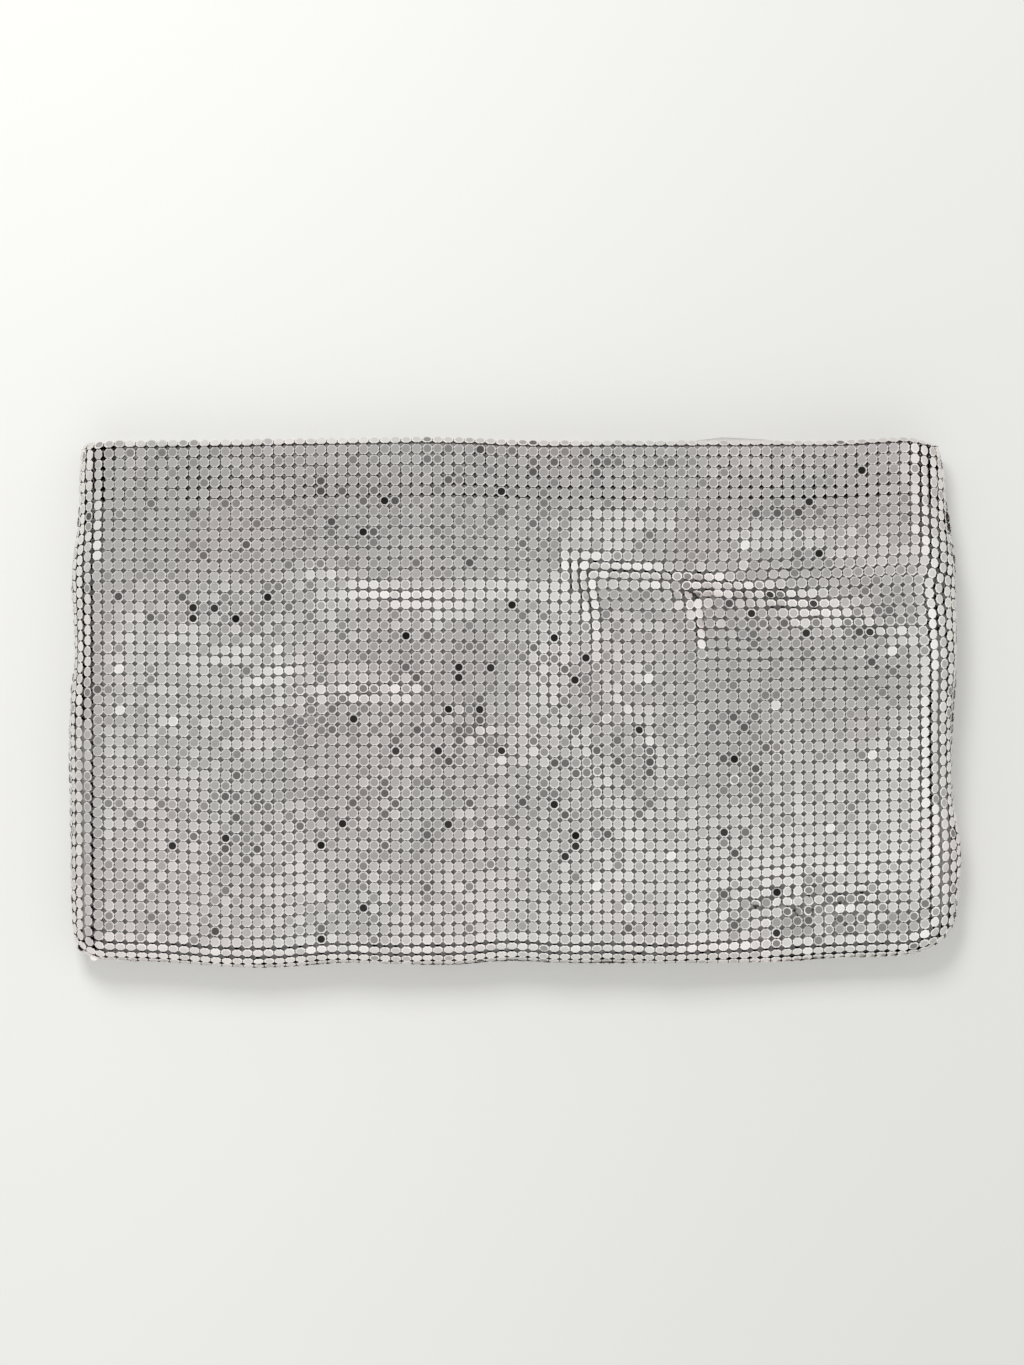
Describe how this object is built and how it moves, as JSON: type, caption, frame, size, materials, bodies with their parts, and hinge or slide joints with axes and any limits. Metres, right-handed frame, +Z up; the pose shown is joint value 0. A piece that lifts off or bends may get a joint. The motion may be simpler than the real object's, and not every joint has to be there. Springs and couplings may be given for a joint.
{
  "type": "metal mesh purse",
  "caption": "Soft flat pouch of linked metal plates with a smooth lining, open along its top edge and lying on its back.",
  "frame": {"origin": "on the surface that the pouch lies on, under the middle of its outline", "axes": "+X across the pouch, +Y towards its mouth, +Z up off the surface and out of its front"},
  "size_m": [0.2662, 0.158, 0.021],
  "materials": {
    "mesh": "silver plated metal plates with rounded bright rims, lightly worn, some tarnished dark",
    "lining": "smooth grey satin with a soft sheen"
  },
  "bodies": {
    "root": {"mesh_front": "mesh", "mesh_back": "mesh", "lining": "lining"}
  },
  "joints": []
}
